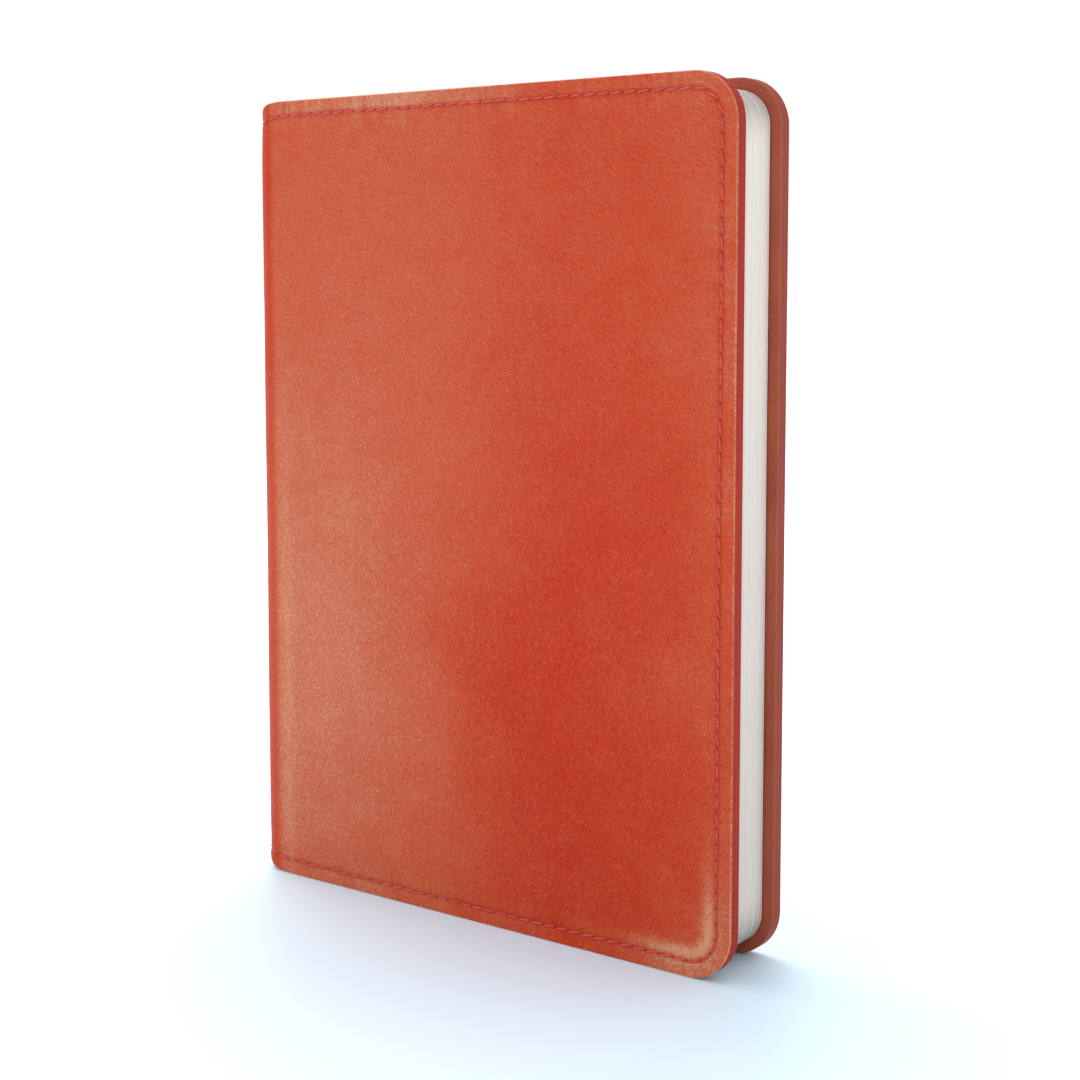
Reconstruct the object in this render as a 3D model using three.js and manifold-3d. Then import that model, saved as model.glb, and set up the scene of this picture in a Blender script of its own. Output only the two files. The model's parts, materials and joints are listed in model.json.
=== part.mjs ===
// Case-bound A5 notebook in a stitched leather cover, standing on its tail edge.
// Millimetres. +X runs from the spine to the fore edge, -Y is the front cover's side, +Z is up.
// The origin is the centre of the bounding box's bottom face.

import * as THREE from 'three';
import { mergeVertices } from 'three/addons/utils/BufferGeometryUtils.js';
import Module from 'manifold-3d';

const wasm = await Module();
wasm.setup();

// Overall size of the closed notebook.
const WIDTH = 154;
const HEIGHT = 216;
const THICKNESS = 24.8;
const SPINE_X = -WIDTH / 2;
const FORE_X = WIDTH / 2;
const CORNER_RADIUS = 12;
const ARC_SEGMENTS = 10;

// Layers of each cover board, from the outside in.
const LEATHER = 1.5;
const CORE = 1.4;
const LINING = 1.2;
const BOARD = LEATHER + CORE + LINING;

// The leather folds round the spine on this radius, and the covers hinge where the fold begins.
const FOLD_RADIUS = 6;
const FOLD_SEGMENTS = 8;
const HINGE_X = SPINE_X + FOLD_RADIUS;
const FOLD_GAP = 0.1;
const SPINE_FLAT = THICKNESS - 2 * FOLD_RADIUS;
const SPINE_CORE = 0.6;
const SPINE_WALL = LEATHER + SPINE_CORE + LINING;
const SPINE_DIP = 3.2;
const SPINE_DIP_RUN = 6.2;

// The seam: a cord lying in a groove, a fixed distance in from the edge.
const SEAM_INSET = 4;
const THREAD_WIDTH = 0.7;
const THREAD_DEPTH = 0.4;
const GROOVE_OPENING = 0.3;
const GROOVE_CLEARANCE = 0.02;

// Points closer than this are one point in a solid, and how far a cutter runs past what it cuts.
const WELD_DISTANCE = 1e-5;
const CUTTER_OVERRUN = 1;

// Paper.
const SQUARE = 3;
const LEAF_CORNER_RADIUS = 9;
const PAPER = 0.15;
const PASTEDOWN_INSET = 6.5;
const PASTEDOWN_CORNER_RADIUS = 5.5;
const PASTEDOWN_FOLD_ROOM = 2;
const SIGNATURES = 12;
const SIGNATURE_PITCH = 1.325;
const SIGNATURE_THICKNESS = 1.3;
const MULL = 0.3;
const MULL_WIDTH = 11;
const MULL_INSET = 6;
const BLOCK_BACK_HALF = 8.1;
const BLOCK_BACK_ROUNDING = 1.7;
const BLOCK_HINGE_ROOM = 0.05;

const COLOURS = {
  leather: { color: 0xc4533a, roughness: 0.62, metalness: 0 },
  core: { color: 0x7c3a2c, roughness: 0.85, metalness: 0 },
  lining: { color: 0x8d4b3a, roughness: 0.75, metalness: 0 },
  thread: { color: 0xc42c20, roughness: 0.6, metalness: 0 },
  paper: { color: 0xe9e2da, roughness: 0.9, metalness: 0 },
  pages: { color: 0xe4dcd4, roughness: 0.9, metalness: 0 },
  cloth: { color: 0xd8d2c4, roughness: 0.95, metalness: 0 },
};

// A named mesh with its own material.
function piece(name, geometry, look) {
  const mesh = new THREE.Mesh(geometry, new THREE.MeshStandardMaterial(COLOURS[look]));
  mesh.name = name;
  return mesh;
}

// A closed geometry as a solid for cutting.
function solid(geometry) {
  const bare = geometry.clone();
  bare.deleteAttribute('normal');
  bare.deleteAttribute('uv');
  const welded = mergeVertices(bare, WELD_DISTANCE);
  const mesh = new wasm.Mesh({
    numProp: 3,
    vertProperties: new Float32Array(welded.attributes.position.array),
    triVerts: new Uint32Array(welded.index.array),
  });
  return new wasm.Manifold(mesh);
}

// One geometry with the volume of another taken out of it.
function cutAway(geometry, cutter) {
  const mesh = solid(geometry).subtract(solid(cutter)).getMesh();
  const result = new THREE.BufferGeometry();
  result.setAttribute('position', new THREE.Float32BufferAttribute(mesh.vertProperties, 3));
  result.setIndex(Array.from(mesh.triVerts));
  result.computeVertexNormals();
  return result;
}

// A flat outline drawn in X and Z, made solid between two values of Y.
function plate(outline, yLow, yHigh) {
  const geometry = new THREE.ExtrudeGeometry(outline, {
    depth: yHigh - yLow,
    bevelEnabled: false,
    curveSegments: ARC_SEGMENTS,
  });
  geometry.rotateX(Math.PI / 2);
  geometry.translate(0, yHigh, 0);
  return geometry;
}

// A plate given by its two depths below the outer face of the front (side -1) or back (side 1).
function layer(side, outline, outerDepth, innerDepth) {
  const outer = side * (THICKNESS / 2 - outerDepth);
  const inner = side * (THICKNESS / 2 - innerDepth);
  return plate(outline, Math.min(outer, inner), Math.max(outer, inner));
}

// A rectangle whose two fore-edge corners are rounded.
function leafOutline(xSpine, inset, radius) {
  const right = FORE_X - inset;
  const bottom = inset;
  const top = HEIGHT - inset;
  const shape = new THREE.Shape();
  shape.moveTo(xSpine, bottom);
  shape.lineTo(right - radius, bottom);
  shape.absarc(right - radius, bottom + radius, radius, -Math.PI / 2, 0, false);
  shape.lineTo(right, top - radius);
  shape.absarc(right - radius, top - radius, radius, 0, Math.PI / 2, false);
  shape.lineTo(xSpine, top);
  shape.closePath();
  return shape;
}

// The seam's U-shaped path round three sides of a cover, as a band of the thread's width.
function seamOutline(xSpine) {
  const near = SEAM_INSET - THREAD_WIDTH / 2;
  const far = SEAM_INSET + THREAD_WIDTH / 2;
  const centreX = FORE_X - CORNER_RADIUS;
  const low = CORNER_RADIUS;
  const high = HEIGHT - CORNER_RADIUS;
  const outer = CORNER_RADIUS - near;
  const inner = CORNER_RADIUS - far;
  const shape = new THREE.Shape();
  shape.moveTo(xSpine, near);
  shape.lineTo(centreX, near);
  shape.absarc(centreX, low, outer, -Math.PI / 2, 0, false);
  shape.lineTo(centreX + outer, high);
  shape.absarc(centreX, high, outer, 0, Math.PI / 2, false);
  shape.lineTo(xSpine, HEIGHT - near);
  shape.lineTo(xSpine, HEIGHT - far);
  shape.lineTo(centreX, HEIGHT - far);
  shape.absarc(centreX, high, inner, Math.PI / 2, 0, true);
  shape.lineTo(centreX + inner, low);
  shape.absarc(centreX, low, inner, 0, -Math.PI / 2, true);
  shape.lineTo(xSpine, far);
  shape.closePath();
  return shape;
}

// Stations along the outside of the spine, from the front hinge line to the back one.
// Each has the distance to the nearer hinge line, a point on the outside, and the inward direction.
function spineStations() {
  const stations = [];
  const flatHalf = SPINE_FLAT / 2;
  for (let i = 0; i <= FOLD_SEGMENTS; i += 1) {
    const turn = (i / FOLD_SEGMENTS) * Math.PI / 2;
    stations.push({
      reach: FOLD_RADIUS * turn,
      x: HINGE_X - FOLD_RADIUS * Math.sin(turn),
      y: -flatHalf - FOLD_RADIUS * Math.cos(turn),
      inX: Math.sin(turn),
      inY: Math.cos(turn),
    });
  }
  for (let i = FOLD_SEGMENTS; i >= 0; i -= 1) {
    const front = stations[i];
    stations.push({ ...front, y: -front.y, inY: -front.inY });
  }
  return stations;
}

// How far the spine's head and tail lie inside the covers' edges at a distance from the hinge line.
function spineDip(reach) {
  const u = Math.min(reach / SPINE_DIP_RUN, 1);
  return SPINE_DIP * (1 - Math.sqrt(1 - u * u));
}

// A strip of sheet bent round the spine between two depths below its outer surface.
// lowAt and highAt give the heights of its lower and upper edges at a distance from the hinge line.
function bentStrip(outerDepth, innerDepth, lowAt, highAt) {
  const positions = [];
  const index = [];
  const stations = spineStations();
  for (const s of stations) {
    const low = lowAt(s.reach);
    const high = highAt(s.reach);
    const outer = [s.x + s.inX * outerDepth, s.y + s.inY * outerDepth];
    const inner = [s.x + s.inX * innerDepth, s.y + s.inY * innerDepth];
    positions.push(...outer, low, ...outer, high, ...inner, high, ...inner, low);
  }
  for (let i = 0; i + 1 < stations.length; i += 1) {
    for (let k = 0; k < 4; k += 1) {
      const a = 4 * i + k;
      const b = 4 * i + (k + 1) % 4;
      index.push(a, b, b + 4, a, b + 4, a + 4);
    }
  }
  const end = 4 * (stations.length - 1);
  index.push(0, 2, 1, 0, 3, 2);
  index.push(end, end + 1, end + 2, end, end + 2, end + 3);
  const geometry = new THREE.BufferGeometry();
  geometry.setAttribute('position', new THREE.Float32BufferAttribute(positions, 3));
  geometry.setIndex(index);
  geometry.computeVertexNormals();
  return geometry;
}

// A plain block between two corners.
function block(x0, x1, y0, y1, z0, z1) {
  const geometry = new THREE.BoxGeometry(x1 - x0, y1 - y0, z1 - z0);
  geometry.translate((x0 + x1) / 2, (y0 + y1) / 2, (z0 + z1) / 2);
  return geometry;
}

// One cover: outer leather, core board and lining, sewn together along three sides.
function coverPieces(name, side) {
  const outline = leafOutline(HINGE_X + FOLD_GAP, 0, CORNER_RADIUS);
  const seam = seamOutline(HINGE_X + FOLD_GAP);
  const groove = seamOutline(HINGE_X);
  const pastedown = leafOutline(
    HINGE_X + PASTEDOWN_FOLD_ROOM, PASTEDOWN_INSET, PASTEDOWN_CORNER_RADIUS);
  const leather = cutAway(
    layer(side, outline, 0, LEATHER),
    layer(side, groove, -GROOVE_OPENING, THREAD_DEPTH));
  const lining = cutAway(
    layer(side, outline, LEATHER + CORE, BOARD),
    layer(side, groove, BOARD - THREAD_DEPTH, BOARD + GROOVE_OPENING));
  return [
    piece(`${name}_leather`, leather, 'leather'),
    piece(`${name}_core`, layer(side, outline, LEATHER, LEATHER + CORE), 'core'),
    piece(`${name}_lining`, lining, 'lining'),
    piece(`${name}_outer_stitching`, layer(side, seam, 0, THREAD_DEPTH), 'thread'),
    piece(`${name}_inner_stitching`, layer(side, seam, BOARD - THREAD_DEPTH, BOARD), 'thread'),
    piece(`${name}_pastedown`, layer(side, pastedown, BOARD, BOARD + PAPER), 'paper'),
  ];
}

// The spine: leather bent round a thin core strip, lined, with the seam carried across both ends.
function spinePieces() {
  const bottom = (reach) => spineDip(reach);
  const top = (reach) => HEIGHT - spineDip(reach);
  const near = SEAM_INSET - THREAD_WIDTH / 2;
  const far = SEAM_INSET + THREAD_WIDTH / 2;
  const seamStrip = (outerDepth, low, high, room) => bentStrip(
    outerDepth, THREAD_DEPTH, (reach) => low(reach) - room, (reach) => high(reach) + room);
  const tailLow = (reach) => bottom(reach) + near;
  const tailHigh = (reach) => bottom(reach) + far;
  const headLow = (reach) => top(reach) - far;
  const headHigh = (reach) => top(reach) - near;
  let leather = bentStrip(0, LEATHER, bottom, top);
  leather = cutAway(leather, seamStrip(-GROOVE_OPENING, tailLow, tailHigh, GROOVE_CLEARANCE));
  leather = cutAway(leather, seamStrip(-GROOVE_OPENING, headLow, headHigh, GROOVE_CLEARANCE));
  const coreX = SPINE_X + LEATHER;
  const coreHalf = SPINE_FLAT / 2;
  const core = block(coreX, coreX + SPINE_CORE, -coreHalf, coreHalf, SPINE_DIP, HEIGHT - SPINE_DIP);
  const recess = block(
    coreX - CUTTER_OVERRUN, coreX + SPINE_CORE, -coreHalf, coreHalf,
    -CUTTER_OVERRUN, HEIGHT + CUTTER_OVERRUN);
  const lining = cutAway(bentStrip(LEATHER, SPINE_WALL, bottom, top), recess);
  return [
    piece('spine_leather', leather, 'leather'),
    piece('spine_core', core, 'core'),
    piece('spine_lining', lining, 'lining'),
    piece('spine_tail_stitching', seamStrip(0, tailLow, tailHigh, 0), 'thread'),
    piece('spine_head_stitching', seamStrip(0, headLow, headHigh, 0), 'thread'),
  ];
}

// The sewn and glued backs of the signatures, and the open-weave cloth that ties them to the spine.
function bindingPieces() {
  const clothX = SPINE_X + SPINE_WALL;
  const left = clothX + MULL;
  const half = BLOCK_BACK_HALF;
  const round = BLOCK_BACK_ROUNDING;
  const shape = new THREE.Shape();
  shape.moveTo(HINGE_X, half);
  shape.lineTo(left + round, half);
  shape.absarc(left + round, half - round, round, Math.PI / 2, Math.PI, false);
  shape.lineTo(left, round - half);
  shape.absarc(left + round, round - half, round, Math.PI, 1.5 * Math.PI, false);
  shape.lineTo(HINGE_X, -half);
  shape.closePath();
  const back = new THREE.ExtrudeGeometry(shape, {
    depth: HEIGHT - 2 * SQUARE,
    bevelEnabled: false,
    curveSegments: ARC_SEGMENTS,
  });
  back.translate(0, 0, SQUARE);
  const cloth = block(
    clothX, left, -MULL_WIDTH / 2, MULL_WIDTH / 2, MULL_INSET, HEIGHT - MULL_INSET);
  return [
    piece('text_block_back', back, 'pages'),
    piece('spine_mull', cloth, 'cloth'),
  ];
}

// The leaves: a flyleaf at each side, and the folded signatures between them.
function leafPieces() {
  const outline = leafOutline(HINGE_X + BLOCK_HINGE_ROOM, SQUARE, LEAF_CORNER_RADIUS);
  const meshes = [];
  const stack = SIGNATURES * SIGNATURE_PITCH / 2;
  meshes.push(piece('front_flyleaf', plate(outline, -stack - PAPER, -stack), 'paper'));
  meshes.push(piece('back_flyleaf', plate(outline, stack, stack + PAPER), 'paper'));
  for (let i = 0; i < SIGNATURES; i += 1) {
    const middle = (i + 0.5) * SIGNATURE_PITCH - stack;
    const half = SIGNATURE_THICKNESS / 2;
    const name = `signature_${String(i + 1).padStart(2, '0')}`;
    meshes.push(piece(name, plate(outline, middle - half, middle + half), 'pages'));
  }
  return meshes;
}

const notebook = new THREE.Group();
notebook.name = 'leather_notebook';
notebook.add(...spinePieces());
notebook.add(...bindingPieces());
notebook.add(...coverPieces('front', -1));
notebook.add(...coverPieces('back', 1));
notebook.add(...leafPieces());

export default notebook;
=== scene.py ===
"""An A5 notebook in a stitched leather cover, standing on its tail edge."""
import json
import math

import bpy
import numpy as np
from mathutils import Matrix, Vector

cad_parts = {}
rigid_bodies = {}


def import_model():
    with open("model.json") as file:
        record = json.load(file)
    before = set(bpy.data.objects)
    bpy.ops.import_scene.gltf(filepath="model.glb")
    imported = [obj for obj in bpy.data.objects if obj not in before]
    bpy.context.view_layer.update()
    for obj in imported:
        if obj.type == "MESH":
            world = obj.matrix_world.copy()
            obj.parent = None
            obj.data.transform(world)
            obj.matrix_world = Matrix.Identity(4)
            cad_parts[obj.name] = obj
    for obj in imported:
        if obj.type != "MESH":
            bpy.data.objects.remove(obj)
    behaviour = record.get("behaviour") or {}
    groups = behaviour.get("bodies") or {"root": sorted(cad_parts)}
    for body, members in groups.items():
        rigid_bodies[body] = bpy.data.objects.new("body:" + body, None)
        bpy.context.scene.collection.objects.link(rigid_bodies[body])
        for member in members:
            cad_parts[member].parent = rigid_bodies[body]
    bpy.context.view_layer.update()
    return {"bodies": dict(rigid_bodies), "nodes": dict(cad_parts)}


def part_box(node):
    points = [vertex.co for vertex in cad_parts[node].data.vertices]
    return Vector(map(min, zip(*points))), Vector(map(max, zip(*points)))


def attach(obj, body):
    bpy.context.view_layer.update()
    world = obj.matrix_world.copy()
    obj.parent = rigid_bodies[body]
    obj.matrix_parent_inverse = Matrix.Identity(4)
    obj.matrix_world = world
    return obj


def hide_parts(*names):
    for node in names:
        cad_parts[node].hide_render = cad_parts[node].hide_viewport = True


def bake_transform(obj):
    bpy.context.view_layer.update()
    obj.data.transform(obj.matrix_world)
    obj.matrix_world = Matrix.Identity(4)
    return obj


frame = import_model()

# ---------------------------------------------------------------- sizes, in millimetres

MM = 0.001


def box_mm(node):
    """Lowest and highest corner of a frame node, in millimetres."""
    low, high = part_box(node)
    return np.array(low) / MM, np.array(high) / MM


COVER_LOW, COVER_HIGH = box_mm("front_leather")
SPINE_LOW, _ = box_mm("spine_leather")
_, SPINE_STRIP_HIGH = box_mm("spine_core")
LINING_LOW, LINING_HIGH = box_mm("front_lining")

HEIGHT = float(COVER_HIGH[2])
FORE_X = float(COVER_HIGH[0])
HALF_THICKNESS = float(-COVER_LOW[1])

# The layers of a cover: its leather, its whole board, and the depth where the core ends.
LEATHER = float(COVER_HIGH[1] - COVER_LOW[1])
BOARD = float(LINING_HIGH[1] - COVER_LOW[1])
CORE_IN = float(LINING_LOW[1] - COVER_LOW[1])

# The spine: flat in the middle, then a quarter turn of radius FOLD to each cover's hinge.
# Places along the sheet are measured from the spine's middle, and end in _S.
SPINE_X = float(SPINE_LOW[0])
FLAT_HALF = float(SPINE_STRIP_HIGH[1])
FOLD = HALF_THICKNESS - FLAT_HALF
HINGE_X = SPINE_X + FOLD
FOLD_LENGTH = FOLD * math.pi / 2
HINGE_S = FLAT_HALF + FOLD_LENGTH
FORE_S = HINGE_S + FORE_X - HINGE_X

# Thickness of the spine's whole wall, and of the strip of board in it.
SPINE_WALL = 3.3
SPINE_STRIP = 0.6

# Radius of a cover's fore corners, and of the rounded arrises of its layers.
CORNER = 12.0
ARRIS = 0.5
LINING_ARRIS = 0.3
FINE_ARRIS = 0.06

# The head and tail edges are drawn in by SPINE_DIP at the spine, beginning DIP_START past the
# hinge, and the seam less so. The spans are where one gives way to the other, then to none.
SPINE_DIP = 3.2
DIP_START = 4.4
DIP_RUN = 9.2
SEAM_DIP = 1.7
SEAM_DIP_SPAN = (-5.0, 6.0)
EDGE_FADE = (0.4, 3.7)
SEAM_FADE = (5.0, 26.0)

# The seam runs SEAM in from the edge: tail edge, corner, fore edge, corner, head edge.
SEAM = 4.0
SEAM_RADIUS = CORNER - SEAM
SEAM_ARC = SEAM_RADIUS * math.pi / 2
SEAM_LONG = FORE_S - CORNER
SEAM_FORE = HEIGHT - 2 * CORNER
SEAM_LENGTH = 2 * SEAM_LONG + 2 * SEAM_ARC + SEAM_FORE
FORE_START = SEAM_LONG + SEAM_ARC
FORE_END = FORE_START + SEAM_FORE
STITCH_COUNT = 134
PITCH = SEAM_LENGTH / STITCH_COUNT

# Depths of the outer face, how wide the valley under the seam is, and where the crown rises.
VALLEY_DEPTH = 0.22
LINING_VALLEY = 0.2
VALLEY_WIDTH = 0.85
MARGIN_DROP = 0.10
CROWN_RISE = 0.16
CROWN_SPAN = (4.2, 16.0)
FOOT_FLARE = 0.35
FOOT_SPAN = (1.0, 7.0)
BROAD_WAVE = 0.07
SMALL_WAVE = 0.04

# A stitch is a rod. Its half length is STITCH_SHARE of the pitch, and its ends are STITCH_END
# as thick as its middle. It lies STITCH_SINK below its bed, which is STITCH_BED in the leather,
# and rises by STITCH_ARCH. The three changes are how much it varies from stitch to stitch.
STITCH_HALF_WIDTH = 0.26
STITCH_HALF_HEIGHT = 0.21
STITCH_SHARE = 0.485
STITCH_END = 0.45
STITCH_ARCH = 0.17
STITCH_SINK = 0.10
STITCH_BED = 0.06
STITCH_LEAN = 0.115
LEAN_CHANGE = 0.035
SIDE_CHANGE = 0.07
LIFT_CHANGE = 0.03
PLY_GROOVE = 0.13
PLY_TURN = 2.4

# The grain runs along arcs: side + ARC_BEND (up - ARC_MIDDLE)^2 is the same all along one.
ARC_MIDDLE = 72.0
ARC_BEND = 0.0065

# How far past the hinge line a cover's and a leaf's bend would begin and end; the points are
# worked out, but nothing uses them.
BLEND_HALF = 3.0
LEAF_BLEND = (-1.0, 14.0)

# The paper: corner radii and arrises, and how far a section's fore edge is in on average.
LEAF_CORNER = 9.0
PASTEDOWN_CORNER = 5.5
SECTION_ARRIS = 0.14
PAPER_ARRIS = 0.05
FORE_CHANGE = 0.05

# The binding cloth: the spacing of its threads, and of the yarns that lift it by CRIMP.
CLOTH_THREAD = 0.9
YARN = 1.5
CRIMP = 0.03

# Faces that meet at more than this are shaded as an edge.
SHARP_ANGLE = math.radians(50)

# Distances in from an edge at which the grids have a line: of a cover, and of a leaf.
RINGS = np.array([0, .05, .12, .22, .36, .5, .8, 1.3, 1.9, 2.5, 3.0, 3.35, 3.65, 3.85, 4.0,
                  4.15, 4.35, 4.65, 5.0, 5.6, 6.4, 7.6, 9.2, 10.8, 12.0])
LEAF_RINGS = np.array([0, .06, .15, .5, 1.2, 2.2, 3.4, 4.8, 6.4, 8.0, 9.0])
PASTEDOWN_RINGS = LEAF_RINGS * (PASTEDOWN_CORNER / LEAF_CORNER)

# Distances from the gutter at which a leaf's grid has a line.
GUTTER = np.concatenate([np.linspace(0, 16, 21), [18, 21, 25, 30]])

SIDES = {"front": -1, "back": 1}

# ---------------------------------------------------------------- colours


def srgb(red, green, blue):
    """An 8-bit display colour as the linear colour a shader takes."""
    c = np.array([red, green, blue]) / 255
    linear = np.where(c <= 0.04045, c / 12.92, ((c + 0.055) / 1.055) ** 2.4)
    return (*map(float, linear), 1.0)


# Cover leather, from full red at 0 to dry tan at 1, and the deeper red painted as shade in the
# seam's valley and awl holes.
LEATHER_TONES = [
    (0.0, srgb(184, 39, 12)),
    (0.2, srgb(191, 56, 28)),
    (0.45, srgb(196, 76, 42)),
    (0.72, srgb(193, 98, 66)),
    (1.0, srgb(214, 142, 104)),
]
SEAM_SHADE_RED = srgb(152, 30, 16)

# The two tones between which each other material varies.
FRONT_PAINT = srgb(151, 34, 23), srgb(173, 45, 30)
BACK_PAINT = srgb(138, 55, 41), srgb(158, 71, 52)
LINING = srgb(142, 62, 44), srgb(184, 96, 70)
NAP = srgb(120, 62, 46), srgb(158, 96, 72)
OUTER_RED = srgb(182, 24, 14), srgb(230, 82, 66)
INNER_RED = srgb(150, 30, 22), srgb(196, 58, 44)
LEAF_FACE = srgb(228, 219, 206), srgb(238, 230, 219)
LEAF_EDGE = srgb(227, 211, 199), srgb(239, 224, 213)
IVORY = srgb(222, 212, 197), srgb(236, 228, 215)
GLUE = srgb(203, 190, 168), srgb(236, 229, 217)
BOARD_FIBRE = srgb(120, 98, 78), srgb(160, 138, 112)
CLOTH = srgb(150, 138, 112), srgb(228, 221, 203)

CHIPPED_PAINT = srgb(196, 112, 84)
# Painted shade in the lining's awl holes.
AWL_HOLE_SHADE = srgb(60, 26, 20)
# Painted shade for the stacked page edges, at their fore corners and towards the foot.
PAGE_EDGE_SHADE = srgb(120, 115, 110)
FLOOR_COLOUR = srgb(221, 242, 255)

# How much paler each kind of wear makes the cover leather, on its scale from 0 to 1. The lower
# spine side is partly painted sheen, the middle painted sheen, and the hinge strip and arris
# partly painted highlight.
PALE_BASE = 0.27
PALER = {
    "low_spine_pale_and_sheen": 0.33, "upper": 0.07, "middle": 0.14, "fore": 0.10, "mottle": 0.18,
    "band": 0.13, "spine_face": 0.22, "arris": 0.32,
    "margin": 0.10, "margin_corner": 0.30, "margin_head": 0.22,
    "shoulder": 0.06, "shoulder_corner": 0.62,
    "grain": 0.80, "marks": 0.26, "fleck": 0.80, "wrinkle": 0.20, "pucker": 0.55,
    "pebbles": 0.14,
}
# How much redder the deep red middle and the fold are, on the same scale.
REDDER = {"ember": 0.20, "fold": 0.30}

# How far each mark stands out of the cover leather, or lies in it, in millimetres.
STANDS = {"pebbles": 0.05, "grain": 0.16, "marks": 0.10, "fleck": 0.10, "wrinkle": 0.05,
          "pucker": 0.30, "stitch": 0.05, "hole": 0.10}

# ---------------------------------------------------------------- materials in words


class Wire:
    """A number or vector flowing through a material; arithmetic on numbers adds Math nodes."""

    def __init__(self, finish, socket):
        self.finish = finish
        self.socket = socket

    def _math(self, operation, *others):
        inputs = {0: self}
        inputs.update({i + 1: other for i, other in enumerate(others)})
        return self.finish.node("ShaderNodeMath", {"operation": operation}, inputs)

    def _flipped(self, operation, other):
        return self.finish.node("ShaderNodeMath", {"operation": operation}, {0: other, 1: self})

    def __add__(self, other):
        return self._math("ADD", other)

    def __radd__(self, other):
        return self._math("ADD", other)

    def __sub__(self, other):
        return self._math("SUBTRACT", other)

    def __rsub__(self, other):
        return self._flipped("SUBTRACT", other)

    def __mul__(self, other):
        return self._math("MULTIPLY", other)

    def __rmul__(self, other):
        return self._math("MULTIPLY", other)

    def __truediv__(self, other):
        return self._math("DIVIDE", other)

    def __neg__(self):
        return self._math("MULTIPLY", -1.0)

    def __abs__(self):
        return self._math("ABSOLUTE")

    def exp(self):
        return self._math("EXPONENT")

    def cos(self):
        return self._math("COSINE")

    def clamp(self):
        return self.finish.node("ShaderNodeClamp", {}, {0: self})

    def ramp(self, low, high, bottom=0.0, top=1.0):
        """Smoothly from bottom at low to top at high, and level beyond them."""
        settings = {"interpolation_type": "SMOOTHSTEP"}
        return self.finish.node("ShaderNodeMapRange", settings,
                                {0: self, 1: low, 2: high, 3: bottom, 4: top})

    def bell(self, centre, width):
        """1 at centre, falling as exp(-((x - centre) / width)^2)."""
        x = (self - centre) / width
        return (-(x * x)).exp()


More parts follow.
